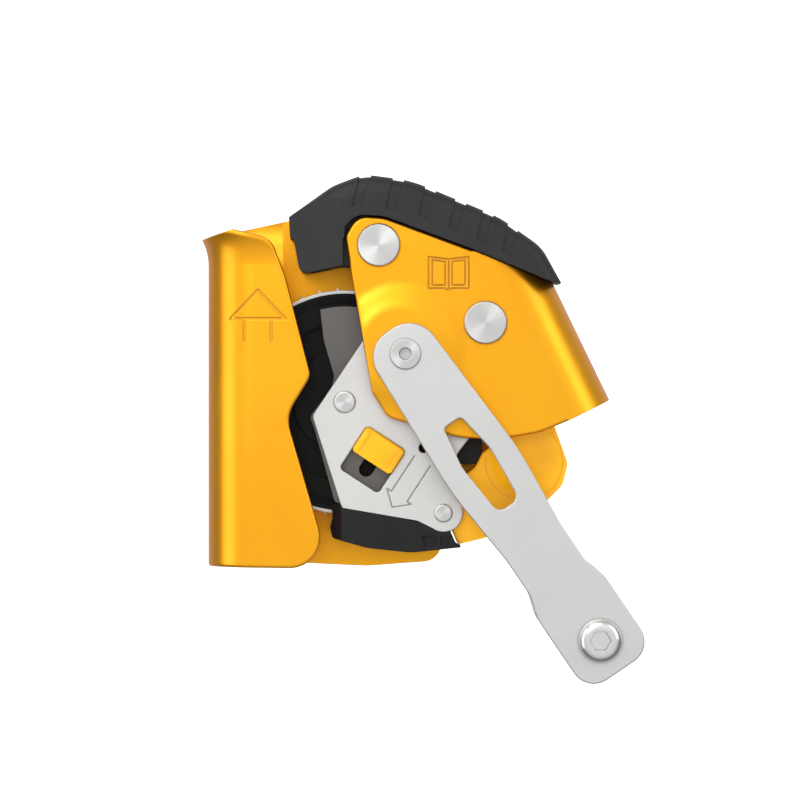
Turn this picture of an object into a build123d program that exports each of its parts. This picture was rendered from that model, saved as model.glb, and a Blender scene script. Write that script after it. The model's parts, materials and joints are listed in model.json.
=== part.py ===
from build123d import *
import math
import os

# Mobile fall arrester for rope, in millimetres.
# +Z is up along the rope, -Y is the front, +X points away from the rope.
# The origin is on the rope's axis, level with the locking wheel's axle.

# ---- Driving dimensions -------------------------------------------------------------------------------

SHEET = 3.0                      # frame sheet thickness
INNER = 12.0                     # middle plane to the sheet's inner face
OUTER = INNER + SHEET            # middle plane to the sheet's outer face
GAP = 0.2                        # working gap between loose pieces
RUNNING = 0.05                   # radial clearance of a pin in its bore

WHEEL = (34.9, 0.0)              # locking wheel's axle
SPACER = (45.7, 49.8)            # spacer rivet near the top
PIVOT = (79.6, 25.2)             # pivot of the wheel carriage
ARM = (54.2, 15.2)               # pivot of the connecting arm
CATCH = (66.3, -35.3)            # pivot of the safety catch
BOLT = (115.8, -75.4)            # attachment bolt at the arm's free end
DOME = (52.5, 17.3)              # centre of the dome pressed into each cheek
DOME_RADIUS = 21.5
DOME_FLAT = 11.6                 # radius of the dome's flat top
DOME_RISE = 2.0

CHANNEL_X = 6.2                  # centre of the rope channel's bend
FLARE_START = 43.6               # height where the channel's lip starts to flare
FLARE_RADIUS = 19.6              # radius of the flare on the sheet's inner side
FLARE_ANGLE = 50.0
BEND_FOOT = (106.0, -5.9)        # lower end of the right bend's centre line
BEND_SLOPE = 25.85               # lean of the right bend from the vertical, degrees
BEND_LENGTH = 66.0

PLATE_IN = 9.0                   # steel side plates, inner and outer faces
PLATE_OUT = 11.0
HOUSING_IN = 6.5
RIM_RADIUS = 35.6
RIM_BORE = 32.6
RIM_HALF = 5.0
WHEEL_HALF = 6.0
WHEEL_SWEEP = 37.6               # radius kept free round the wheel
AXLE_RADIUS = 3.5
SPACER_RADIUS = 3.0
PIVOT_RADIUS = 4.0
CATCH_PIN = 2.9
CATCH_EYE = 6.2                  # radius of the side plates' eye round the catch's pivot
HEAD_RADIUS = 6.8                # turned rivet heads
HEAD_HEIGHT = 1.4

ARM_IN = 17.4
ARM_OUT = 20.4
ARM_PIN = 4.3
BOLT_RADIUS = 4.0

SLIDE = (-0.546, -0.838)         # direction in which the lock button locks
SLIDE_ANGLE = 56.9
SLIDE_TRAVEL = 7.0
WINDOW = (43.8, -18.3)           # centre of the lock button's window
WINDOW_SIZE = (16.4, 15.0)
BUTTON_LENGTH = 9.2

ENGRAVED = 0.35                  # depth of engraved signs
THROUGH = 30                     # half length of a cut right across the device

os.makedirs("parts", exist_ok=True)


# ---- Helpers ------------------------------------------------------------------------------------------

def front(distance):
    """Plane facing the front, this far in front of the middle plane; local x, y are X, Z."""
    return Plane.XZ.offset(distance)


def outline(corners, mode=Mode.ADD):
    """Face of the current sketch from (x, z, corner radius) triples."""
    with BuildLine() as edge:
        FilletPolyline(*[(x, z) for x, z, r in corners], radius=[r for x, z, r in corners], close=True)
    make_face(edge.line, mode=mode)


def slab(corners, near, far, mode=Mode.ADD):
    """Plate with this outline, from near to far in front of the middle plane."""
    with BuildSketch(front(near)) as profile:
        outline(corners)
    extrude(profile.sketch, amount=far - near, mode=mode)


def disc(centre, radius, near, far, mode=Mode.ADD):
    """Round bar across the device, from near to far in front of the middle plane."""
    with BuildSketch(front(near)) as profile:
        with Locations(centre):
            Circle(radius)
    extrude(profile.sketch, amount=far - near, mode=mode)


def save(part, name):
    part.label = name
    export_step(part, f"parts/{name}.step")


def strokes(points, width):
    """Line of this width through these points of the current sketch, for engraving."""
    for start, end in zip(points, points[1:]):
        middle = ((start[0] + end[0]) / 2, (start[1] + end[1]) / 2)
        heading = math.degrees(math.atan2(end[1] - start[1], end[0] - start[0]))
        with Locations(Location((*middle, 0), (0, 0, heading))):
            SlotCenterToCenter(math.dist(start, end), width)


def turned_grooves(centre, face, radii, depth=0.25, width=0.5):
    """Fine concentric turning grooves in a face that looks to the front (face > 0) or the back."""
    side = 1 if face > 0 else -1
    for radius in radii:
        with BuildSketch(front(face - side * depth)) as groove:
            with Locations(centre):
                Circle(radius + width / 2)
                Circle(radius - width / 2, mode=Mode.SUBTRACT)
        extrude(groove.sketch, amount=side * depth * 2, mode=Mode.SUBTRACT)


# ---- Frame sheet --------------------------------------------------------------------------------------

ROUNDING = 1.0                   # rounding of the sheet's edges
FLAP_EDGE = [(-40, 42.8, 0), (-0.3, 54.8, 0), (11.6, 52.0, 7), (16.2, 39.6, 30), (24.2, 8.2, 4),
             (16.4, -4.6, 11), (30.4, -52.9, 9.6), (-40, -52.0, 0)]


def bend_axis_point(distance):
    """Point of the right bend's centre line, this far above its foot."""
    lean = math.radians(BEND_SLOPE)
    return (BEND_FOOT[0] - distance * math.sin(lean), BEND_FOOT[1] + distance * math.cos(lean))


BEND_TOP = bend_axis_point(BEND_LENGTH)
CHEEK_OUTLINE = [(43.6, 3.0, 3), (35.0, 52.5, 3), (38.8, 59.2, 6), (47.5, 58.6, 12), (75.0, 48.4, 0),
                 (BEND_TOP[0], 48.4, 0), (*BEND_TOP, 0), (*BEND_FOOT, 0), (97.0, -9.6, 20),
                 (85.0, -11.9, 20), (71.0, -11.4, 30), (48.5, -4.8, 5)]

BACK_OUTLINE = [(15.0, -51.6, 0), (42.0, -52.8, 30), (64.0, -51.2, 6), (76.0, -22.0, 20), (88.0, -11.0, 20),
                (*BEND_FOOT, 0), (*BEND_TOP, 0), (BEND_TOP[0], 48.4, 0), (75.0, 48.4, 0), (47.5, 58.6, 12),
                (38.0, 59.4, 8), (15.0, 58.1, 0)]


def bulge(radius, face, mode):
    """Round bulge at the dome's place with a soft S-shaped flank, rising forwards from this face."""
    root = face - 0.5
    top = face + DOME_RISE
    with BuildSketch(Plane(origin=(DOME[0], 0, DOME[1]), x_dir=(1, 0, 0), z_dir=(0, 0, 1))) as half_section:
        with BuildLine() as edge:
            Polyline((radius, -face), (radius, -root), (0, -root), (0, -top), (DOME_FLAT, -top))
            Spline((DOME_FLAT, -top), (radius, -face), tangents=((1, 0), (1, 0)))
        make_face(edge.line)
    revolve(half_section.sketch, axis=Axis((DOME[0], 0, DOME[1]), (0, 1, 0)), mode=mode)


def is_free_edge(edge):
    """Whether this edge of a cheek is free at the front: not joined to a bend, nor on the dome."""
    middle = edge.center()
    lean = math.radians(BEND_SLOPE)
    from_bend = (middle.X - BEND_FOOT[0]) * math.cos(lean) + (middle.Z - BEND_FOOT[1]) * math.sin(lean)
    if edge.geom_type == GeomType.CIRCLE and math.isclose(edge.radius, DOME_RADIUS):
        return False
    if edge.geom_type == GeomType.CIRCLE and math.isclose(edge.radius, DOME_FLAT):
        return False
    return middle.Y < -OUTER + 0.01 and from_bend < -0.3 and middle.X > 15.1


def cheek_wall(corners):
    """Flat wall of the frame at the front, with the dome for the arm's pivot pressed outwards."""
    with BuildPart() as wall:
        slab(corners, INNER, OUTER)
        bulge(DOME_RADIUS, OUTER, Mode.ADD)
        bulge(DOME_RADIUS - 0.8, INNER, Mode.SUBTRACT)
        slab(corners, 0, OUTER + 10, mode=Mode.INTERSECT)
        fillet([edge for edge in wall.edges() if is_free_edge(edge)], ROUNDING)
        disc(ARM, ARM_PIN, 0, THROUGH, mode=Mode.SUBTRACT)
        disc(SPACER, SPACER_RADIUS, 0, THROUGH, mode=Mode.SUBTRACT)
        disc(PIVOT, PIVOT_RADIUS, 0, THROUGH, mode=Mode.SUBTRACT)
    return wall.part


def lip_section():
    """Wall section of the rope channel's rear leg: straight, then flaring outwards at the top."""
    angle = math.radians(FLARE_ANGLE)
    centre_y = INNER + FLARE_RADIUS
    inner_end = (centre_y - FLARE_RADIUS * math.cos(angle), FLARE_START + FLARE_RADIUS * math.sin(angle))
    thin = FLARE_RADIUS - SHEET
    outer_end = (centre_y - thin * math.cos(angle), FLARE_START + thin * math.sin(angle))
    with BuildLine() as section:
        Polyline((INNER, FLARE_START), (INNER, -60), (OUTER, -60), (OUTER, FLARE_START))
        RadiusArc((OUTER, FLARE_START), outer_end, thin)
        Line(outer_end, inner_end)
        RadiusArc(inner_end, (INNER, FLARE_START), -FLARE_RADIUS)
    make_face(section.line)


with BuildPart() as rope_channel:
    with BuildSketch(Plane.YZ.offset(CHANNEL_X)) as rear_leg:
        lip_section()
    extrude(amount=17.0 - CHANNEL_X)
    revolve(rear_leg.sketch, axis=Axis((CHANNEL_X, 0, 0), (0, 0, 1)), revolution_arc=180)
    front_leg = mirror(rear_leg.sketch, about=Plane.XZ, mode=Mode.PRIVATE)
    extrude(front_leg, amount=32.0 - CHANNEL_X, dir=(1, 0, 0))
    with BuildSketch(front(0)):
        Rectangle(200, 200)
        outline(FLAP_EDGE, mode=Mode.SUBTRACT)
    extrude(amount=40, mode=Mode.SUBTRACT)
    slab([(-40, 42.8, 0), (-0.3, 54.8, 10), (17.5, 58.8, 0), (17.5, 80, 0), (-40, 80, 0)], -40, 0,
         mode=Mode.SUBTRACT)
    slab([(-40, -50.9, 0), (17.5, -51.6, 0), (17.5, -80, 0), (-40, -80, 0)], -40, 0, mode=Mode.SUBTRACT)
    fillet([edge for edge in rope_channel.edges() if edge.center().Y < -10 and edge.center().X > 12.5
            and edge.geom_type == GeomType.CIRCLE], ROUNDING)

lean = math.radians(BEND_SLOPE)
bend_plane = Plane(origin=(BEND_FOOT[0], 0, BEND_FOOT[1]), x_dir=(math.cos(lean), 0, math.sin(lean)),
                   z_dir=(-math.sin(lean), 0, math.cos(lean)))

with BuildPart() as right_bend:
    with BuildSketch(bend_plane):
        Circle(OUTER)
        Circle(INNER, mode=Mode.SUBTRACT)
        with Locations((-OUTER / 2, 0)):
            Rectangle(OUTER, 2 * OUTER, mode=Mode.SUBTRACT)
    extrude(amount=BEND_LENGTH)

UP_HEAD = [(7.5, 35.4), (-1.2, 26.4), (16.1, 26.4), (7.5, 35.4)]
UP_STEMS = (3.1, 11.7)
STEM_FOOT = 19.6
UP_STROKE = 0.85

# The sign of the rope's upward direction follows the flap round its bend.
with BuildPart() as up_sign:
    with BuildSketch(front(0)):
        strokes(UP_HEAD, UP_STROKE)
        for x in UP_STEMS:
            strokes([(x, UP_HEAD[1][1]), (x, STEM_FOOT)], UP_STROKE)
    extrude(amount=OUTER + 5)
    with BuildSketch(Plane.XY) as skin:
        with Locations((CHANNEL_X, 0)):
            Circle(OUTER + 5)
            Circle(OUTER - ENGRAVED, mode=Mode.SUBTRACT)
        with Locations((CHANNEL_X + 10, 0)):
            Rectangle(20, 2 * (OUTER + 5))
            Rectangle(20, 2 * (OUTER - ENGRAVED), mode=Mode.SUBTRACT)
    extrude(skin.sketch, amount=60, mode=Mode.INTERSECT)

BOOK = (68.0, 40.6)              # centre of the open-book sign on the front cheek
BOOK_COVER = [(0, 4.6), (6.4, 5.4), (6.4, -4.6), (1.0, -4.6), (0, -5.4), (0, 4.6)]
BOOK_PAGE = [(1.1, 3.8), (5.2, 4.4), (5.2, -3.6), (1.1, -3.6), (1.1, 3.8)]
BOOK_STROKE = 0.5

with BuildPart() as book_sign:
    with BuildSketch(Plane(origin=(BOOK[0], -OUTER + ENGRAVED, BOOK[1]), x_dir=(1, 0, 0), z_dir=(0, -1, 0))):
        for side in (-1, 1):
            strokes([(side * x, z) for x, z in BOOK_COVER], BOOK_STROKE)
            strokes([(side * x, z) for x, z in BOOK_PAGE], BOOK_STROKE)
    extrude(amount=2)

with BuildPart() as frame_sheet:
    add(rope_channel.part)
    add(right_bend.part)
    add(cheek_wall(CHEEK_OUTLINE))
    add(mirror(cheek_wall(BACK_OUTLINE), about=Plane.XZ))
    slab([(75.0, 48.4, 0), (98.0, 38.9, 5), (104.0, 37.2, 0), (140, 37.2, 0), (140, 90, 0), (60, 90, 0),
          (60, 54.3, 0)], -THROUGH, THROUGH, mode=Mode.SUBTRACT)
    add(up_sign.part, mode=Mode.SUBTRACT)
    add(book_sign.part, mode=Mode.SUBTRACT)

save(frame_sheet.part, "frame_sheet")


# ---- Grip pad -----------------------------------------------------------------------------------------

PAD_HALF = 16.4
PAD_CROWN = [(17.6, 52.0, 0), (17.2, 58.8, 0), (31.0, 68.6, 16), (41.0, 72.4, 14), (56.0, 70.4, 40),
             (84.0, 58.8, 40), (97.5, 49.2, 14), (103.8, 37.8, 0), (98.5, 37.0, 0), (40.0, 52.0, 0)]
PAD_SEAT = [(34.6, 50.0, 0), (35.0, 55.6, 0), (38.8, 59.5, 6), (47.6, 58.9, 12), (75.1, 48.7, 0),
            (98.2, 39.2, 0), (106.0, 36.6, 0), (106.0, 20.0, 0), (34.6, 20.0, 0)]
PAD_BACK_SEAT = [(15.0, 30.0, 0), (60.0, 30.0, 0), (60.0, 54.0, 0), (47.5, 58.6, 12), (38.0, 59.4, 8),
                 (15.0, 58.1, 0)]
PAD_CORE = [(17.6, 58.0, 0), (18.8, 51.5, 4), (20.8, 40.6, 2.5), (34.0, 43.4, 4), (62.0, 41.2, 4),
            (88.0, 34.6, 4), (88.0, 48.0, 0), (45.0, 63.0, 0)]

PAD_NOSE_DROP = [(17.6, 58.0, 0), (18.8, 51.5, 4), (20.8, 40.6, 2.5), (34.4, 43.4, 0), (34.4, 58.0, 0)]
PAD_HOLLOW = [(24.0, 30.0, 0), (24.0, 55.4, 3), (31.0, 63.0, 5), (41.0, 66.8, 8), (56.0, 65.2, 20),
              (80.0, 55.4, 20), (93.0, 45.6, 3), (93.0, 20.0, 0)]
PAD_HOLLOW_HALF = 8.8
PAD_TREAD_FOOT = [(30.0, 20.0, 0), (30.0, 60.0, 0), (40.0, 62.6, 10), (58.0, 59.4, 30), (84.0, 48.6, 30),
                  (106.0, 34.0, 0), (106.0, 20.0, 0)]
PAD_NOSE = 12.2                  # half width at the end beside the rope channel
PAD_RIDGE_X = 33.0               # where the narrowing nose starts
PAD_ROUND = 5.0
TREAD_AT = (43.0, 52.6, 62.4, 71.8, 80.4, 88.4)
TREAD_WIDTH = 3.6
TREAD_DEPTH = 0.6
TREAD_LEAN = 14.0                # lean of the tread grooves from the vertical, degrees
TREAD_CREST = 78.0               # middle height of the first groove's cutting bar
TREAD_FALL = 0.5                 # how fast the crest falls from groove to groove
TREAD_BAR = 34.0


def pad_body(inset):
    """The grip pad's rounded outside, shrunk by this much all round."""
    half = PAD_HALF - inset
    with BuildPart() as body:
        with BuildSketch(front(-half)) as profile:
            outline(PAD_CROWN)
            if inset:
                offset(amount=-inset)
        extrude(profile.sketch, amount=2 * half)
        rims = body.faces().filter_by(Axis.Y).edges()
        fillet([edge for edge in rims if edge.center().Z > 58 - 0.5 * max(0, edge.center().X - 80)
                and 20 < edge.center().X < 102], PAD_ROUND - inset)
    return body.part


with BuildPart() as tread:
    for x in TREAD_AT:
        crest = TREAD_CREST - TREAD_FALL * (x - TREAD_AT[0])
        with BuildSketch(front(-THROUGH)) as bar:
            with Locations(Location((x, crest, 0), (0, 0, -TREAD_LEAN))):
                Rectangle(TREAD_WIDTH, TREAD_BAR)
        extrude(bar.sketch, amount=2 * THROUGH)
    add(pad_body(0), mode=Mode.INTERSECT)
    add(pad_body(TREAD_DEPTH), mode=Mode.SUBTRACT)
    slab(PAD_TREAD_FOOT, -THROUGH, THROUGH, mode=Mode.SUBTRACT)

with BuildPart() as top_grip_pad:
    add(pad_body(0))
    add(tread.part, mode=Mode.SUBTRACT)
    slab(PAD_NOSE_DROP, 0, PAD_HALF)
    with BuildSketch(Plane.XY) as plan:
        Polygon((10, -PAD_NOSE), (17.0, -PAD_NOSE), (PAD_RIDGE_X, -PAD_HALF), (120, -PAD_HALF),
                (120, PAD_HALF), (PAD_RIDGE_X, PAD_HALF), (17.0, PAD_NOSE), (10, PAD_NOSE), align=None)
    extrude(plan.sketch, amount=100, mode=Mode.INTERSECT)
    slab(PAD_SEAT, -THROUGH, THROUGH, mode=Mode.SUBTRACT)
    slab(PAD_CORE, -INNER + GAP, INNER - GAP)
    slab(PAD_HOLLOW, -PAD_HOLLOW_HALF, PAD_HOLLOW_HALF, mode=Mode.SUBTRACT)
    slab(PAD_BACK_SEAT, -THROUGH, -INNER, mode=Mode.SUBTRACT)
    add(frame_sheet.part, mode=Mode.SUBTRACT)
    disc(SPACER, 5.0, -INNER, INNER, mode=Mode.SUBTRACT)
save(top_grip_pad.part, "top_grip_pad")


# ---- Frame fasteners ----------------------------------------------------------------------------------

def through_rivet(centre, shank):
    """Solid rivet right through the frame, with a turned flat head outside each cheek."""
    with BuildPart() as rivet:
        disc(centre, shank, -OUTER, OUTER)
        disc(centre, HEAD_RADIUS, OUTER, OUTER + HEAD_HEIGHT)
        disc(centre, HEAD_RADIUS, -OUTER - HEAD_HEIGHT, -OUTER)
        rims = rivet.faces().sort_by(Axis.Y)
        chamfer([rims[0].edges()[0], rims[-1].edges()[0]], 0.4)
    return rivet.part


def tube(centre, bore, radius, near, far):
    """Plain tube or washer across the device."""
    with BuildPart() as ring:
        disc(centre, radius, near, far)
        disc(centre, bore, near, far, mode=Mode.SUBTRACT)
    return ring.part


spacer_rivet = through_rivet(SPACER, SPACER_RADIUS)
save(spacer_rivet, "spacer_rivet")
spacer_tube = tube(SPACER, SPACER_RADIUS, 4.9, -INNER, INNER)
save(spacer_tube, "spacer_tube")
carriage_pivot_rivet = through_rivet(PIVOT, PIVOT_RADIUS)
save(carriage_pivot_rivet, "carriage_pivot_rivet")

ARM_HEAD_IN = 12.1               # inner head of the stub rivet, sunk in the dome
ARM_BORE = 1.8                   # blind centre hole in the rivet's riveted end
with BuildPart() as arm_stub:
    disc(ARM, ARM_PIN, ARM_HEAD_IN, ARM_OUT)
    disc(ARM, 8.0, ARM_HEAD_IN, 14.0)
    disc(ARM, 4.9, ARM_OUT + RUNNING, ARM_OUT + 0.8)
    disc(ARM, ARM_PIN, ARM_OUT - 0.5, ARM_OUT + 0.8)
    disc(ARM, ARM_BORE, ARM_OUT - 3.0, ARM_OUT + 2, mode=Mode.SUBTRACT)
    chamfer(arm_stub.edges().filter_by(GeomType.CIRCLE).sort_by(Axis.Y)[0:2], 0.3)
with BuildPart() as arm_pivot_rivets:
    add(arm_stub.part)
    mirror(about=Plane.XZ)
save(arm_pivot_rivets.part, "arm_pivot_rivets")

with BuildPart() as arm_washers:
    add(tube(ARM, ARM_PIN + RUNNING, 8.5, OUTER + DOME_RISE, ARM_IN))
    mirror(about=Plane.XZ)
save(arm_washers.part, "arm_washers")


def coil(centre, radius, wire, near, far, turns):
    """Coil spring of round wire with its axis across the device."""
    pitch = (far - near) / turns
    base = Plane(origin=(centre[0], -near, centre[1]), x_dir=(1, 0, 0), z_dir=(0, -1, 0))
    path = base.location * Helix(pitch=pitch, height=far - near, radius=radius)
    with BuildPart() as spring:
        with BuildSketch(Plane(origin=path @ 0, z_dir=path % 0)) as wire_end:
            Circle(wire)
        sweep(wire_end.sketch, path=path, is_frenet=True)
    return spring.part


carriage_spring = coil(PIVOT, 7.6, 0.7, -8.0, -2.0, 3.5)
save(carriage_spring, "carriage_spring")


# ---- Connecting arm -----------------------------------------------------------------------------------

reach = math.dist(ARM, BOLT)
along = ((BOLT[0] - ARM[0]) / reach, (BOLT[1] - ARM[1]) / reach)
ARM_EDGE = [(-9.0, 10.2, 9.4), (45.0, 12.8, 90), (72.0, 10.4, 30), (86.0, 10.4, 10), (93.0, 12.7, 12),
            (121.0, 12.7, 7.5)]
ARM_WINDOW = [(26.3, 3.2, 1.5), (40.0, 5.4, 14), (58.0, 3.9, 3)]


def both_sides(half):
    """Closed outline symmetric about the arm's centre line, from its one side."""
    return half + [(u, -v, r) for u, v, r in reversed(half)]


with BuildPart() as front_arm_plate:
    arm_plane = Plane(origin=(ARM[0], -ARM_IN, ARM[1]), x_dir=(along[0], 0, along[1]), z_dir=(0, -1, 0))
    with BuildSketch(arm_plane):
        outline(both_sides(ARM_EDGE))
        outline(both_sides(ARM_WINDOW), mode=Mode.SUBTRACT)
        Circle(ARM_PIN + RUNNING, mode=Mode.SUBTRACT)
        with Locations((reach, 0)):
            Circle(BOLT_RADIUS, mode=Mode.SUBTRACT)
    extrude(amount=ARM_OUT - ARM_IN)
    faces = front_arm_plate.faces().sort_by(Axis.Y)
    chamfer(faces[0].edges() + faces[-1].edges(), 0.35)
save(front_arm_plate.part, "front_arm_plate")
with BuildPart() as rear_arm_plate:
    mirror(front_arm_plate.part, about=Plane.XZ)
save(rear_arm_plate.part, "rear_arm_plate")

BOLT_HEAD = 4.2
with BuildPart() as attachment_bolt:
    disc(BOLT, BOLT_RADIUS, -ARM_OUT - BOLT_HEAD + 1.0, ARM_OUT)
    disc(BOLT, 7.0, ARM_OUT, ARM_OUT + BOLT_HEAD)
    fillet(attachment_bolt.faces().sort_by(Axis.Y)[0].edges(), 3.2)
    with BuildSketch(front(ARM_OUT + BOLT_HEAD - 3.0)):
        with Locations(BOLT):
            RegularPolygon(3.0, 6, major_radius=False)
    extrude(amount=5, mode=Mode.SUBTRACT)
save(attachment_bolt.part, "attachment_bolt")

with BuildPart() as attachment_nut:
    disc(BOLT, 7.0, -ARM_OUT - BOLT_HEAD, -ARM_OUT)
    fillet(attachment_nut.faces().sort_by(Axis.Y)[-1].edges(), 3.2)
    disc(BOLT, BOLT_RADIUS, -ARM_OUT - BOLT_HEAD - 1, -ARM_OUT, mode=Mode.SUBTRACT)
save(attachment_nut.part, "attachment_nut")

attachment_sleeve = tube(BOLT, BOLT_RADIUS + RUNNING, 6.5, -ARM_IN + GAP, ARM_IN - GAP)
save(attachment_sleeve, "attachment_sleeve")


# ---- Wheel carriage -----------------------------------------------------------------------------------

PLATE_EDGE = [(24.5, -4.4, 2.5), (46.0, 27.2, 6), (76.0, 36.0, 2), (90.4, 24.0, 2), (88.6, 19.0, 2),
              (74.8, -11.2, 3), (70.3, -17.0, 3), (72.4, -34.0, 0), (66.3, -35.3, 0), (62.6, -40.3, 0),
              (58.0, -38.0, 4), (34.0, -33.9, 0.6)]


def side_plate():
    """Front steel side plate of the carriage, before the lock window is cut."""
    with BuildPart() as plate:
        with BuildSketch(front(PLATE_IN)):
            outline(PLATE_EDGE)
            with Locations(CATCH):
                Circle(CATCH_EYE)
            with Locations(PIVOT):
                Circle(11.0)
            with Locations(WHEEL):
                Circle(AXLE_RADIUS, mode=Mode.SUBTRACT)
            with Locations(PIVOT):
                Circle(PIVOT_RADIUS + RUNNING, mode=Mode.SUBTRACT)
            with Locations(CATCH):
                Circle(CATCH_PIN, mode=Mode.SUBTRACT)
            with Locations((60.0, -14.6)):
                Circle(1.6, mode=Mode.SUBTRACT)
        extrude(amount=PLATE_OUT - PLATE_IN)
        chamfer(plate.faces().sort_by(Axis.Y)[0].outer_wire().edges(), 0.3)
    return plate.part


def switch_window(length, width, depth_from, depth_to, radius, mode):
    """Rounded oblong aligned with the lock button's travel, centred on its window."""
    with BuildSketch(front(depth_from)) as profile:
        with Locations(Location((WINDOW[0], WINDOW[1], 0), (0, 0, SLIDE_ANGLE))):
            RectangleRounded(length, width, radius)
    extrude(profile.sketch, amount=depth_to - depth_from, mode=mode)


ARROW_TAIL = (59.6, -18.8)       # middle of the tail of the arrow that shows the locking direction
ARROW_SHAFT = 13.4
ARROW_LENGTH = 17.5

with BuildPart() as front_side_plate:
    add(side_plate())
    switch_window(*WINDOW_SIZE, PLATE_IN - 1, PLATE_OUT + 1, 1.5, Mode.SUBTRACT)
    with BuildSketch(Plane(origin=(ARROW_TAIL[0], -PLATE_OUT + ENGRAVED, ARROW_TAIL[1]),
                           x_dir=(SLIDE[0], 0, SLIDE[1]), z_dir=(0, -1, 0))):
        strokes([(0, 3.0), (ARROW_SHAFT, 3.0), (ARROW_SHAFT, 4.7), (ARROW_LENGTH, 0), (ARROW_SHAFT, -4.7),
                 (ARROW_SHAFT, -3.0), (0, -3.0)], 0.4)
    extrude(amount=1, mode=Mode.SUBTRACT)
save(front_side_plate.part, "front_side_plate")
with BuildPart() as rear_side_plate:
    mirror(side_plate(), about=Plane.XZ)
save(rear_side_plate.part, "rear_side_plate")

HOUSING_EDGE = [(25.4, 45.0, 0), (28.2, 19.8, 12), (31.6, 8.2, 3), (30.6, 4.0, 3), (23.8, -4.6, 2.5),
                (25.2, -8.4, 6), (31.9, -32.3, 2), (57.0, -32.3, 2), (57.0, 0.0, 3), (66.0, 14.0, 0),
                (66.0, 45.0, 0)]


def housing():
    """Front side housing of the carriage: fills the gap between wheel and side plate."""
    with BuildPart() as shell:
        with BuildSketch(front(HOUSING_IN)):
            with Locations(WHEEL):
                Circle(30.4)
            with Locations((44.0, -24.0)):
                Rectangle(26, 20)
            outline(HOUSING_EDGE, mode=Mode.INTERSECT)
        extrude(amount=PLATE_IN - HOUSING_IN)
        disc(WHEEL, AXLE_RADIUS, 0, 20, mode=Mode.SUBTRACT)
    return shell.part


with BuildPart() as front_housing:
    add(housing())
    switch_window(WINDOW_SIZE[0] + 1, WINDOW_SIZE[1] + 1, PLATE_IN - 0.6, PLATE_IN + 1, 1.0, Mode.SUBTRACT)
    with BuildSketch(front(0)):
        with Locations(Location((WINDOW[0], WINDOW[1], 0), (0, 0, SLIDE_ANGLE))):
            SlotCenterToCenter(SLIDE_TRAVEL + 0.6, 4.6)
    extrude(amount=20, mode=Mode.SUBTRACT)
save(front_housing.part, "front_housing")
with BuildPart() as rear_housing:
    mirror(housing(), about=Plane.XZ)
save(rear_housing.part, "rear_housing")

GUARD_EDGE = [(30.6, -30.6, 1), (31.0, -36.9, 1), (30.2, -40.0, 1), (31.0, -43.3, 1.5), (42.0, -46.4, 20),
              (56.0, -47.9, 20), (73.0, -46.1, 0.3), (70.4, -45.3, 1.4), (68.6, -41.2, 0), (66.0, -36.0, 0),
              (62.0, -33.6, 0),
              (58.0, -30.6, 0)]
GUARD_SEAM = [(58.4, -36.0, 0), (59.4, -43.0, 12), (62.0, -50.0, 0), (80.0, -50.0, 0), (80.0, -36.0, 0)]
GUARD_HALF = PLATE_OUT + 0.4
GUARD_BEVEL = 4.0                # slanted corner at the end beside the rope
GUARD_END_X = 30.0

with BuildPart() as plate_blank:
    with BuildSketch(front(PLATE_IN)):
        outline(PLATE_EDGE)
        with Locations(CATCH):
            Circle(CATCH_EYE)
    extrude(amount=5)


def guard_body():
    """Whole lower guard with room for the wheel, the catch's eye, the housings and the side plates."""
    with BuildPart() as guard:
        slab(GUARD_EDGE, -GUARD_HALF, GUARD_HALF)
        with BuildSketch(Plane.XY.offset(-60)) as plan:
            bevel_y = GUARD_HALF - GUARD_BEVEL
            bevel_x = GUARD_END_X + GUARD_BEVEL
            Polygon((GUARD_END_X, -bevel_y), (bevel_x, -GUARD_HALF), (90, -GUARD_HALF), (90, GUARD_HALF),
                    (bevel_x, GUARD_HALF), (GUARD_END_X, bevel_y), align=None)
        extrude(plan.sketch, amount=60, mode=Mode.INTERSECT)
        disc(WHEEL, WHEEL_SWEEP, -HOUSING_IN, HOUSING_IN, mode=Mode.SUBTRACT)
        disc(CATCH, CATCH_EYE + 0.4, -PLATE_IN, PLATE_IN, mode=Mode.SUBTRACT)
        slab([(20, -32.4, 0), (80, -32.4, 0), (80, 0, 0), (20, 0, 0)], -THROUGH, THROUGH,
             mode=Mode.SUBTRACT)
        add(plate_blank.part, mode=Mode.SUBTRACT)
        add(mirror(plate_blank.part, about=Plane.XZ), mode=Mode.SUBTRACT)
    return guard.part


with BuildPart() as lower_guard:
    add(guard_body())
    slab(GUARD_SEAM, -THROUGH, THROUGH, mode=Mode.SUBTRACT)
save(lower_guard.part, "lower_guard")

CAP_RECESSES = [(61.6, 5.4), (67.0, 3.2)]    # centre and width of the end cap's sunk panels
CAP_PANEL_TOP = -42.6
CAP_PANEL_FOOT = -46.2
with BuildPart() as guard_end_cap:
    add(guard_body())
    slab(GUARD_SEAM, -THROUGH, THROUGH, mode=Mode.INTERSECT)
    for x, width in CAP_RECESSES:
        left = x - width / 2
        right = x + width / 2
        slab([(left, CAP_PANEL_FOOT, 0.8), (right, CAP_PANEL_FOOT, 0.8), (right, CAP_PANEL_TOP, 0.8),
              (left, CAP_PANEL_TOP, 0.8)], GUARD_HALF - 0.8, THROUGH, mode=Mode.SUBTRACT)
save(guard_end_cap.part, "guard_end_cap")

with BuildPart() as wheel_axle:
    disc(WHEEL, AXLE_RADIUS, -PLATE_OUT - 0.7, PLATE_OUT + 0.7)
    fillet(wheel_axle.edges(), 0.6)
save(wheel_axle.part, "wheel_axle")

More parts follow.
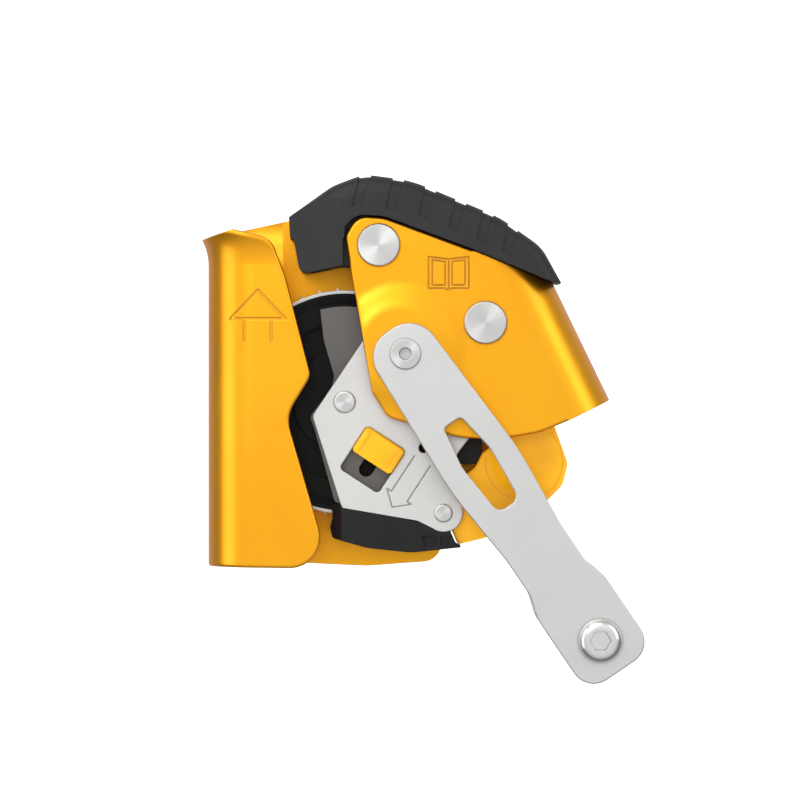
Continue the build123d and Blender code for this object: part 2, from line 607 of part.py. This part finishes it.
RATCHET_TEETH = 8
with BuildPart() as ratchet_hub:
    with BuildSketch(front(-1.4)):
        with Locations(WHEEL):
            Circle(9.0)
            with PolarLocations(0, RATCHET_TEETH):
                with Locations((10.0, 0)):
                    Rectangle(3.0, 2.8)
            Circle(AXLE_RADIUS, mode=Mode.SUBTRACT)
    extrude(amount=4.6)
save(ratchet_hub.part, "ratchet_hub")

pivot_bush = tube(PIVOT, PIVOT_RADIUS + RUNNING, 6.4, -PLATE_IN, PLATE_IN)
save(pivot_bush, "pivot_bush")

FENDER_HALF = 5.8
with BuildPart() as wheel_fender:
    with BuildSketch(front(1.0)):
        with Locations(PIVOT):
            Circle(9.4)
        outline([(79.6, 25.2, 0), (71.0, 20.0, 0), (72.6, 0.0, 6), (70.4, -12.0, 2), (70.6, -20.0, 2),
                 (78.6, -19.6, 2), (78.6, -12.0, 2), (75.4, -6.0, 4), (74.8, 6.0, 4), (88.0, 21.0, 0)])
        with Locations(WHEEL):
            Circle(WHEEL_SWEEP, mode=Mode.SUBTRACT)
        with Locations(PIVOT):
            Circle(6.4, mode=Mode.SUBTRACT)
    extrude(amount=FENDER_HALF - 1.0)
    slab([(68.0, -20.0, 2), (78.6, -19.6, 2), (78.6, -12.0, 2), (75.4, -6.0, 4), (75.0, 4.0, 0),
          (70.0, 4.0, 0)], -FENDER_HALF, 1.0)
    disc(WHEEL, WHEEL_SWEEP, -THROUGH, THROUGH, mode=Mode.SUBTRACT)
save(wheel_fender.part, "wheel_fender")

with BuildPart() as catch_axle:
    disc(CATCH, CATCH_PIN, -PLATE_OUT - 0.7, PLATE_OUT + 0.7)
    fillet(catch_axle.edges(), 0.6)
save(catch_axle.part, "catch_axle")


# ---- Locking wheel ------------------------------------------------------------------------------------

TEETH = 13                       # teeth in each of the rim's rows
TOOTH_HEIGHT = 1.2
COVER_RADIUS = 34.6
HUB_FLOOR = -1.6                 # rear web of the hub starts behind this plane
PAWL_PIN_AT = 20.0               # distance of the pawl pins from the wheel's axle

with BuildPart() as toothed_rim:
    with BuildSketch(front(-RIM_HALF)):
        with Locations(WHEEL):
            Circle(RIM_RADIUS)
            Circle(RIM_BORE, mode=Mode.SUBTRACT)
    extrude(amount=2 * RIM_HALF)
    for row in range(3):
        row_middle = (row - 1) * 3.2
        with BuildSketch(front(row_middle - 0.7)):
            with Locations(Location((*WHEEL, 0), (0, 0, row * 360 / TEETH / 3))):
                with PolarLocations(RIM_RADIUS, TEETH):
                    Polygon((-0.5, -0.6), (TOOTH_HEIGHT, 1.4), (-0.5, 1.0), align=None)
        extrude(amount=1.4)
save(toothed_rim.part, "toothed_rim")

with BuildPart() as wheel_hub:
    disc(WHEEL, RIM_BORE, -RIM_HALF, 3.4)
    disc(WHEEL, 27.8, HUB_FLOOR, 3.4, mode=Mode.SUBTRACT)
    disc(WHEEL, 6.0, -RIM_HALF, 3.4, mode=Mode.SUBTRACT)
save(wheel_hub.part, "wheel_hub")


def cover_disc():
    """Front cover of the wheel, with fine concentric grooves near its edge."""
    with BuildPart() as cover:
        disc(WHEEL, COVER_RADIUS, RIM_HALF, WHEEL_HALF)
        disc(WHEEL, RIM_BORE, 3.4, RIM_HALF)
        turned_grooves(WHEEL, WHEEL_HALF, (31.4, 32.3, 33.2))
        disc(WHEEL, 6.0, 0, 20, mode=Mode.SUBTRACT)
    return cover.part


LOCK_LUGS = 8
GROOVE_IN = 16.3
GROOVE_OUT = 21.2
POCKET_OUT = 25.2
POCKET_FLOOR = 4.4
LUG_ANGLE = -64.6 + 22.5         # direction of the first lug from the axle
with BuildPart() as front_wheel_cover:
    add(cover_disc())
    disc(WHEEL, POCKET_OUT, POCKET_FLOOR, 20, mode=Mode.SUBTRACT)
    disc(WHEEL, GROOVE_IN, 3.4, WHEEL_HALF)
    with BuildSketch(front(3.4)):
        with Locations(Location((*WHEEL, 0), (0, 0, LUG_ANGLE))):
            with PolarLocations(0, LOCK_LUGS):
                with Locations(((GROOVE_OUT + POCKET_OUT) / 2 + 0.2, 0)):
                    Rectangle(POCKET_OUT - GROOVE_OUT + 0.4, 5.0)
    extrude(amount=WHEEL_HALF - 3.4)
    disc(WHEEL, 6.0, 0, 20, mode=Mode.SUBTRACT)
save(front_wheel_cover.part, "front_wheel_cover")

with BuildPart() as rear_wheel_cover:
    disc(WHEEL, COVER_RADIUS, -WHEEL_HALF, -RIM_HALF)
    turned_grooves(WHEEL, -WHEEL_HALF, (31.4, 32.3, 33.2))
    disc(WHEEL, 6.0, -20, 20, mode=Mode.SUBTRACT)
save(rear_wheel_cover.part, "rear_wheel_cover")

with BuildPart() as wheel_bushes:
    add(tube(WHEEL, AXLE_RADIUS + RUNNING, 6.0, 3.4, WHEEL_HALF))
    add(tube(WHEEL, AXLE_RADIUS + RUNNING, 6.0, -WHEEL_HALF, HUB_FLOOR))
save(wheel_bushes.part, "wheel_bushes")


def wheel_point(radius, degrees):
    """Point of the front view at this radius and direction from the wheel's axle."""
    angle = math.radians(degrees)
    return (WHEEL[0] + radius * math.cos(angle), WHEEL[1] + radius * math.sin(angle))


PAWL_ANGLES = (90.0, 270.0)
with BuildPart() as pawl_pins:
    for angle in PAWL_ANGLES:
        disc(wheel_point(PAWL_PIN_AT, angle), 1.5, HUB_FLOOR, 3.3)
save(pawl_pins.part, "pawl_pins")


def pawl(angle):
    """Flyweight pawl on its pin; its tip turns inwards to the ratchet hub when the weight flies out."""
    with BuildPart() as lever:
        spoke = (math.cos(math.radians(angle)), 0, math.sin(math.radians(angle)))
        with BuildSketch(Plane(origin=(WHEEL[0], 1.2, WHEEL[1]), x_dir=spoke, z_dir=(0, -1, 0))):
            outline([(17.4, 9.5, 2), (23.0, 9.5, 2), (24.2, 2.0, 6), (24.2, -5.0, 3), (15.0, -9.0, 2),
                     (10.9, -6.0, 0.4), (12.4, -3.9, 0.4), (16.4, -2.6, 2)])
            with Locations((PAWL_PIN_AT, 0)):
                Circle(1.5 + RUNNING, mode=Mode.SUBTRACT)
        extrude(amount=2.8)
    return lever.part


upper_pawl = pawl(PAWL_ANGLES[0])
save(upper_pawl, "upper_pawl")
lower_pawl = pawl(PAWL_ANGLES[1])
save(lower_pawl, "lower_pawl")

with BuildPart() as pawl_springs:
    for angle in PAWL_ANGLES:
        add(coil(wheel_point(PAWL_PIN_AT, angle), 2.3, 0.3, 2.0, 3.0, 1.5))
save(pawl_springs.part, "pawl_springs")


# ---- Lock switch --------------------------------------------------------------------------------------

BUTTON_TOP = 13.4
SCOOP_RADIUS = 11.0
SCOOP_DEPTH = 0.9
button_offset = (WINDOW_SIZE[0] - BUTTON_LENGTH) / 2 - 0.1
button_centre = (WINDOW[0] - SLIDE[0] * button_offset, WINDOW[1] - SLIDE[1] * button_offset)

with BuildPart() as lock_button:
    with BuildSketch(front(PLATE_IN - 0.5)):
        with Locations(Location((*button_centre, 0), (0, 0, SLIDE_ANGLE))):
            RectangleRounded(BUTTON_LENGTH, WINDOW_SIZE[1] - 0.4, 1.3)
    extrude(amount=BUTTON_TOP - PLATE_IN + 0.5)
    fillet(lock_button.faces().sort_by(Axis.Y)[0].edges(), 1.2)
    with BuildSketch(Plane(origin=(button_centre[0], 0, button_centre[1]), x_dir=(0, -1, 0),
                           z_dir=(-SLIDE[1], 0, SLIDE[0]))) as scoop:
        with Locations((BUTTON_TOP - SCOOP_DEPTH + SCOOP_RADIUS, 0)):
            Circle(SCOOP_RADIUS)
    extrude(scoop.sketch, amount=5.4, both=True, mode=Mode.SUBTRACT)
    disc(button_centre, 2.0, PLATE_IN - 1, PLATE_IN + 1.5, mode=Mode.SUBTRACT)
save(lock_button.part, "lock_button")

with BuildPart() as lock_pin:
    disc(button_centre, 2.0, POCKET_FLOOR + 0.3, PLATE_IN + 1.5)
save(lock_pin.part, "lock_pin")


# ---- Safety catch -------------------------------------------------------------------------------------

CATCH_WALL_IN = 6.6
CATCH_WALL_OUT = 8.8
CATCH_EDGE = [(70.9, -45.4, 1.4), (80.0, -43.2, 12), (99.6, -31.2, 8), (104.2, -26.6, 6), (106.0, -19.6, 5),
              (100.6, -4.6, 2), (88.0, -7.6, 2), (81.6, -14.0, 2), (78.8, -16.0, 1), (76.4, -20.6, 1.5),
              (70.0, -25.6, 2), (64.0, -29.6, 1.5), (60.8, -37.0, 1.5), (68.9, -40.8, 0.6)]
CATCH_ROOM = [(66.0, -41.5, 0), (73.0, -43.3, 1), (79.4, -40.4, 10), (98.0, -29.2, 6), (101.6, -25.6, 5),
              (103.2, -19.6, 4), (100.4, -12.0, 0), (110.0, -2.0, 0), (60.0, 0.0, 0), (50.0, -30.0, 0),
              (56.0, -41.5, 0)]

THUMB = (92.0, -19.0)            # centre of the dished thumb rest on each wall
THUMB_RIM = 12.4
THUMB_DISH = 10.6
THUMB_STEP = 0.3
THUMB_DEPTH = 0.9
THUMB_BALL = (THUMB_DISH ** 2 + THUMB_DEPTH ** 2) / (2 * THUMB_DEPTH)

with BuildPart() as catch_lever:
    slab(CATCH_EDGE, -CATCH_WALL_OUT, CATCH_WALL_OUT)
    fillet(catch_lever.faces().filter_by(Axis.Y).edges(), 0.9)
    slab(CATCH_ROOM, -CATCH_WALL_IN, CATCH_WALL_IN, mode=Mode.SUBTRACT)
    for side in (-1, 1):
        rim_face = CATCH_WALL_OUT - THUMB_STEP
        disc(THUMB, THUMB_RIM, side * rim_face, side * THROUGH, mode=Mode.SUBTRACT)
        with Locations((THUMB[0], -side * (rim_face - THUMB_DEPTH + THUMB_BALL), THUMB[1])):
            Sphere(THUMB_BALL, mode=Mode.SUBTRACT)
    disc(CATCH, CATCH_PIN + RUNNING, -THROUGH, THROUGH, mode=Mode.SUBTRACT)
save(catch_lever.part, "catch_lever")

catch_spring = coil(CATCH, 4.2, 0.6, -4.0, 4.0, 5.5)
save(catch_spring, "catch_spring")
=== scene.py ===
import json
import math

import bpy
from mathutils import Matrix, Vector


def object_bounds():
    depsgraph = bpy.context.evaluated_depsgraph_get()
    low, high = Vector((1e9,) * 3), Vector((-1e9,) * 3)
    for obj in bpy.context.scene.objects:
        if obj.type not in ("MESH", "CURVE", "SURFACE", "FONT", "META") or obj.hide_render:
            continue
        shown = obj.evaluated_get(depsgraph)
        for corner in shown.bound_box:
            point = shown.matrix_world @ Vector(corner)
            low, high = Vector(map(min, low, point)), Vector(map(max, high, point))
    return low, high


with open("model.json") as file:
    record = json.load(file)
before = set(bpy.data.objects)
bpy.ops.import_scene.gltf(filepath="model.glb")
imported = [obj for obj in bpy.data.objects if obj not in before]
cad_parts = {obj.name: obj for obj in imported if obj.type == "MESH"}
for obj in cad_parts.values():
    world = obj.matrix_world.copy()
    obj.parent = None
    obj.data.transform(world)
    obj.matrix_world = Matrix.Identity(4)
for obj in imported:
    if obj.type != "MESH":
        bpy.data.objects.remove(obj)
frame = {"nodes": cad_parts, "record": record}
CAD_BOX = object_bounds()
NODES = frame["nodes"]
SLOT_OF = {entry["node"]: entry["material_slot"] for entry in frame["record"]["subparts"]}
MM = 0.001

# Spans that most of a noise texture's values lie in, centred and slightly high
MIDDLE = (0.3, 0.7)
UPPER = (0.35, 0.7)

# Colours of the gold anodising, linear red, green, blue; the grazing and crevice colours are painted
# shade
GOLD = (1.0, 0.435, 0.006)
GOLD_CLOUD = (1.0, 0.465, 0.009)
# Painted shade: deeper orange for surfaces seen at a grazing angle
GOLD_GRAZING_SHADE = (0.80, 0.23, 0.003)
GOLD_WORN = (1.0, 0.66, 0.16)
# Painted shade: dark orange for grooves and gaps beside other pieces
GOLD_CREVICE_SHADE = (0.40, 0.11, 0.002)

# Colours of the turned rivet heads
STEEL = (0.70, 0.695, 0.68)
STEEL_SMUDGE = (0.65, 0.65, 0.64)
STEEL_WORN = (0.92, 0.92, 0.91)

# Radii over which the shading of sharp edges is softened
MOULDED_ROUNDING = 0.5 * MM
GOLD_ROUNDING = 0.5 * MM
METAL_ROUNDING = 0.35 * MM
TURNED_ROUNDING = 0.3 * MM

# Floor, below the object at rest: leaves room for the arm to hang straight down
FLOOR_DROP = 25.0 * MM

# Soft boxes: place from the middle of the stage, width and height, brightness of the face
STAGE_MIDDLE = (0.055, 0.0, 0.0)
SOFT_BOXES = {
    "key_box": ((-0.14, -0.42, 0.19), (0.18, 0.18), 3.0),
    "left_box": ((-0.90, -0.34, 0.10), (0.55, 1.3), 1.4),
    "right_box": ((0.80, -0.42, 0.40), (0.45, 0.9), 1.4),
    "top_box": ((-0.25, -0.45, 0.90), (0.8, 0.5), 1.5),
}

# Brightness of the surround: everywhere, and added towards the front, the back and the top
SURROUND = 0.20
FRONT_GLOW = 0.67
BACK_GLOW = 0.45
TOP_GLOW = 0.35

# Camera: the point it looks at, how far off it stands, and the width that it sees there
LOOK_AT = (0.0525, 0.0, 0.00064)
CAMERA_DISTANCE = 1.6
VIEW_WIDTH = 0.256
SENSOR_WIDTH = 36.0


# ---- Node helpers -------------------------------------------------------------------------------------

class Nodes:
    """A node tree being put together; most methods return an output socket."""

    def __init__(self, tree):
        self.tree = tree

    def feed(self, socket, value):
        if isinstance(value, bpy.types.NodeSocket):
            self.tree.links.new(value, socket)
        else:
            socket.default_value = value

    def node(self, kind, settings=None, **inputs):
        made = self.tree.nodes.new(kind)
        for key, value in (settings or {}).items():
            setattr(made, key, value)
        for key, value in inputs.items():
            self.feed(made.inputs[key.replace("_", " ")], value)
        return made

    def math(self, operation, a, b):
        made = self.node("ShaderNodeMath", {"operation": operation})
        self.feed(made.inputs[0], a)
        self.feed(made.inputs[1], b)
        return made.outputs[0]

    def blend(self, factor, a, b):
        """Colour a where the factor is 0, b where it is 1."""
        made = self.node("ShaderNodeMix", {"data_type": "RGBA"})
        self.feed(made.inputs[0], factor)
        self.feed(made.inputs[6], a)
        self.feed(made.inputs[7], b)
        return made.outputs[2]

    def span(self, value, low, high, to_low=0.0, to_high=1.0):
        """Maps low..high to to_low..to_high, clamped and smooth."""
        made = self.node("ShaderNodeMapRange", {"interpolation_type": "SMOOTHSTEP"}, Value=value,
                         From_Min=low, From_Max=high, To_Min=to_low, To_Max=to_high)
        return made.outputs[0]


class Shader(Nodes):
    """A material with one principled shader, patterned in its object's own space."""

    def __init__(self, name):
        self.material = bpy.data.materials.new(name)
        self.material.use_nodes = True
        super().__init__(self.material.node_tree)
        self.tree.nodes.clear()
        self.bsdf = self.node("ShaderNodeBsdfPrincipled")
        self.node("ShaderNodeOutputMaterial", Surface=self.bsdf.outputs[0])
        self.position = self.node("ShaderNodeTexCoord").outputs["Object"]

    def set(self, **inputs):
        for key, value in inputs.items():
            self.feed(self.bsdf.inputs[key.replace("_", " ")], value)

    def noise(self, scale, detail=3.0, roughness=0.5):
        """Noise in object space; scale is in features per metre."""
        made = self.node("ShaderNodeTexNoise", Vector=self.position, Scale=scale, Detail=detail,
                         Roughness=roughness)
        return made.outputs[0]

    def rubbed(self, colour, pale, radius, amount):
        """The colour, turned pale on convex edges, by how far a bevelled normal leaves the true one."""
        bevel = self.node("ShaderNodeBevel", {"samples": 4}, Radius=radius)
        geometry = self.node("ShaderNodeNewGeometry")
        dot = self.node("ShaderNodeVectorMath", {"operation": "DOT_PRODUCT"})
        self.feed(dot.inputs[0], bevel.outputs[0])
        self.feed(dot.inputs[1], geometry.outputs["Normal"])
        edge = self.span(self.math("SUBTRACT", 1.0, dot.outputs["Value"]), 0.02, 0.25)
        return self.blend(self.math("MULTIPLY", edge, amount), colour, rgb(pale))

    def painted_crevice_shade(self, colour, dark, reach, amount):
        """The colour, with painted shade: darkened deep in grooves and close beside other pieces, where
        shade falls.
        """
        occlusion = self.node("ShaderNodeAmbientOcclusion", {"samples": 6}, Distance=reach)
        crevice = self.span(occlusion.outputs["AO"], 0.85, 0.35)
        return self.blend(self.math("MULTIPLY", crevice, amount), colour, rgb(dark))

    def bump(self, height, strength, distance, rounding):
        """Surface relief, with the shading of sharp edges softened over the rounding's radius."""
        bevel = self.node("ShaderNodeBevel", {"samples": 6}, Radius=rounding)
        made = self.node("ShaderNodeBump", Height=height, Strength=strength, Distance=distance,
                         Normal=bevel.outputs[0])
        self.set(Normal=made.outputs[0])


def rgb(colour):
    return (*colour, 1.0)


def grey(level):
    return (level, level, level)


def scaled(colour, factor, lift=0.0):
    return [min(1.0, factor * channel + lift) for channel in colour]


# ---- Materials ----------------------------------------------------------------------------------------

def anodised(name):
    """Satin gold anodised aluminium: clear layer over dyed metal, faint clouds, paler worn edges, painted
    shade where the surface turns away from the view and in crevices.
    """
    m = Shader(name)
    grain = m.noise(5200.0, 2.0)
    facing = m.node("ShaderNodeLayerWeight", Blend=0.5).outputs["Facing"]
    colour = m.blend(m.span(m.noise(30.0, 4.0), *MIDDLE), rgb(GOLD), rgb(GOLD_CLOUD))
    # Painted shade: deeper orange where the surface turns away from the view
    colour = m.blend(m.span(facing, 0.25, 0.95, 0.0, 0.75), colour, rgb(GOLD_GRAZING_SHADE))
    colour = m.rubbed(colour, GOLD_WORN, 0.5 * MM, 0.4)
    # Painted shade in grooves and close beside other pieces
    colour = m.painted_crevice_shade(colour, GOLD_CREVICE_SHADE, 1.0 * MM, 0.75)
    rough = m.math("ADD", m.span(grain, *MIDDLE, 0.0, 0.05), m.span(m.noise(70.0), *MIDDLE, 0.33, 0.37))
    m.set(Base_Color=colour, Metallic=1.0, Roughness=rough, Coat_Weight=0.35, Coat_Roughness=0.22)
    m.bump(grain, 0.05, 0.01 * MM, GOLD_ROUNDING)
    return m.material


def bare_metal(name, tint, rough, grain_scale=3600.0, grain_depth=0.10):
    """Bare or clear anodised metal with a fine blasted surface, faint smudges, brighter worn edges and
    painted shade in crevices.
    """
    m = Shader(name)
    grain = m.noise(grain_scale, 2.0)
    smudge = m.noise(48.0, 5.0, 0.6)
    colour = m.blend(m.span(smudge, *UPPER), rgb(tint), rgb(scaled(tint, 0.95)))
    colour = m.rubbed(colour, scaled(tint, 1.2), 0.4 * MM, 0.5)
    # Painted shade in grooves and close beside other pieces
    colour = m.painted_crevice_shade(colour, scaled(tint, 0.3), 0.8 * MM, 0.7)
    speck = m.math("ADD", grain, smudge)
    m.set(Base_Color=colour, Metallic=1.0, Roughness=m.span(speck, 0.7, 1.3, rough, rough + 0.08))
    m.bump(grain, grain_depth, 0.02 * MM, METAL_ROUNDING)
    return m.material


def turned_steel(name):
    """Machined steel, turned round its own axis: highlights stretched like those of a lathe's finish."""
    m = Shader(name)
    tangent = m.node("ShaderNodeTangent", {"direction_type": "RADIAL", "axis": "Y"}).outputs[0]
    colour = m.blend(m.span(m.noise(120.0, 4.0), *MIDDLE), rgb(STEEL), rgb(STEEL_SMUDGE))
    colour = m.rubbed(colour, STEEL_WORN, 0.3 * MM, 0.5)
    rough = m.span(m.noise(500.0), *MIDDLE, 0.30, 0.34)
    m.set(Base_Color=colour, Metallic=1.0, Roughness=rough, Anisotropic=0.75, Tangent=tangent)
    m.bump(m.noise(2400.0, 2.0), 0.03, 0.01 * MM, TURNED_ROUNDING)
    return m.material


def moulded(name, colour, rough, grain_scale, grain_depth, pale, sheen=0.5, coat=0.0):
    """Moulded plastic or rubber with a pored surface and edges rubbed slightly pale."""
    m = Shader(name)
    grain = m.noise(grain_scale, 4.0, 0.6)
    base = m.blend(m.span(m.noise(45.0, 3.0), *UPPER), rgb(colour), rgb(scaled(colour, 0.8)))
    base = m.rubbed(base, scaled(colour, 1.8, 0.03), 0.5 * MM, pale)
    m.set(Base_Color=base, Roughness=m.span(grain, *MIDDLE, rough - 0.05, rough + 0.08),
          Specular_IOR_Level=sheen, Coat_Weight=coat, Coat_Roughness=0.12)
    m.bump(grain, 0.5, grain_depth * MM, MOULDED_ROUNDING)
    return m.material


MATERIALS = {
    "gold_anodised": anodised("gold_anodised"),
    "turned_steel": turned_steel("turned_steel"),
    "spring_steel": bare_metal("spring_steel", (0.45, 0.45, 0.46), 0.30),
    "bronze": bare_metal("bronze", (0.62, 0.40, 0.20), 0.35),
    "arm_alloy": bare_metal("arm_alloy", (0.70, 0.70, 0.69), 0.40),
    "bolt_steel": bare_metal("bolt_steel", (0.74, 0.74, 0.73), 0.20, 1400.0, 0.03),
    "plate_steel": bare_metal("plate_steel", (0.72, 0.72, 0.705), 0.46, 2600.0, 0.16),
    "hub_metal": bare_metal("hub_metal", grey(0.55), 0.35),
    "dark_housing": moulded("dark_housing", (0.095, 0.091, 0.085), 0.55, 1900.0, 0.12, 0.4),
    "black_grip": moulded("black_grip", (0.0105, 0.0105, 0.011), 0.46, 1500.0, 0.04, 0.2, sheen=0.4),
    "black_guard": moulded("black_guard", grey(0.008), 0.42, 1700.0, 0.03, 0.2, sheen=0.25),
    "wheel_black": moulded("wheel_black", grey(0.004), 0.38, 1700.0, 0.02, 0.1, sheen=0.12),
    "yellow_plastic": moulded("yellow_plastic", (0.96, 0.45, 0.004), 0.34, 900.0, 0.01, 0.2, sheen=0.25,
                              coat=0.1),
}

for name, node in NODES.items():
    node.data.materials.clear()
    node.data.materials.append(MATERIALS[SLOT_OF[name]])


# ---- Stage --------------------------------------------------------------------------------------------

def backdrop():
    """Seamless white floor that curves up into a wall well behind the object."""
    low = CAD_BOX[0][2] - FLOOR_DROP
    reach, depth, height, bend, steps = 5.0, 2.6, 3.0, 0.6, 16
    profile = [(-reach, low), (depth - bend, low)]
    for step in range(1, steps + 1):
        angle = math.pi / 2 * step / steps
        profile.append((depth - bend + bend * math.sin(angle), low + bend - bend * math.cos(angle)))
    profile.append((depth, height))
    verts = [(side * reach, y, z) for y, z in profile for side in (-1, 1)]
    faces = [(2 * i, 2 * i + 1, 2 * i + 3, 2 * i + 2) for i in range(len(profile) - 1)]
    mesh = bpy.data.meshes.new("backdrop")
    mesh.from_pydata(verts, [], faces)
    mesh.polygons.foreach_set("use_smooth", [True] * len(faces))
    paper = Shader("paper")
    tone = paper.blend(paper.noise(300.0), rgb(grey(0.90)), rgb(grey(0.92)))
    paper.set(Base_Color=tone, Roughness=0.9, Emission_Color=tone, Emission_Strength=0.62)
    mesh.materials.append(paper.material)
    floor = bpy.data.objects.new("backdrop", mesh)
    floor.visible_glossy = False
    bpy.context.scene.collection.objects.link(floor)


def soft_box(name, place, size, radiance):
    """Rectangular light, not seen itself; its power follows from its size and its face's brightness."""
    data = bpy.data.lights.new(name, "AREA")
    data.shape = "RECTANGLE"
    data.size, data.size_y = size
    data.energy = radiance * math.pi * size[0] * size[1]
    lamp = bpy.data.objects.new(name, data)
    lamp.location = Vector(STAGE_MIDDLE) + Vector(place)
    lamp.rotation_euler = (-Vector(place)).to_track_quat("-Z", "Y").to_euler()
    lamp.visible_camera = False
    bpy.context.scene.collection.objects.link(lamp)


def surround():
    """White surround, brighter in front, behind and above."""
    world = bpy.data.worlds.new("studio")
    world.use_nodes = True
    sky = Nodes(world.node_tree)
    direction = sky.node("ShaderNodeTexCoord").outputs["Generated"]
    split = sky.node("ShaderNodeSeparateXYZ", Vector=direction)
    front = sky.span(split.outputs["Y"], 0.0, -0.95, 0.0, FRONT_GLOW)
    back = sky.span(split.outputs["Y"], 0.1, 1.0, 0.0, BACK_GLOW)
    top = sky.span(split.outputs["Z"], -0.1, 0.9, 0.0, TOP_GLOW)
    glow = sky.math("ADD", sky.math("ADD", front, back), sky.math("ADD", top, SURROUND))
    background = sky.tree.nodes["Background"]
    sky.feed(background.inputs["Color"], rgb(grey(1.0)))
    sky.feed(background.inputs["Strength"], glow)
    bpy.context.scene.world = world


def camera():
    """Straight-on view of the front, level with the wheel's axle."""
    data = bpy.data.cameras.new("camera")
    data.sensor_width = SENSOR_WIDTH
    data.lens = SENSOR_WIDTH * CAMERA_DISTANCE / VIEW_WIDTH
    eye = bpy.data.objects.new("camera", data)
    eye.location = Vector(LOOK_AT) + Vector((0.0, -CAMERA_DISTANCE, 0.0))
    eye.rotation_euler = (math.pi / 2, 0.0, 0.0)
    bpy.context.scene.collection.objects.link(eye)
    bpy.context.scene.camera = eye


backdrop()
for name, settings in SOFT_BOXES.items():
    soft_box(name, *settings)
surround()
camera()
bpy.context.scene.view_settings.view_transform = "Standard"
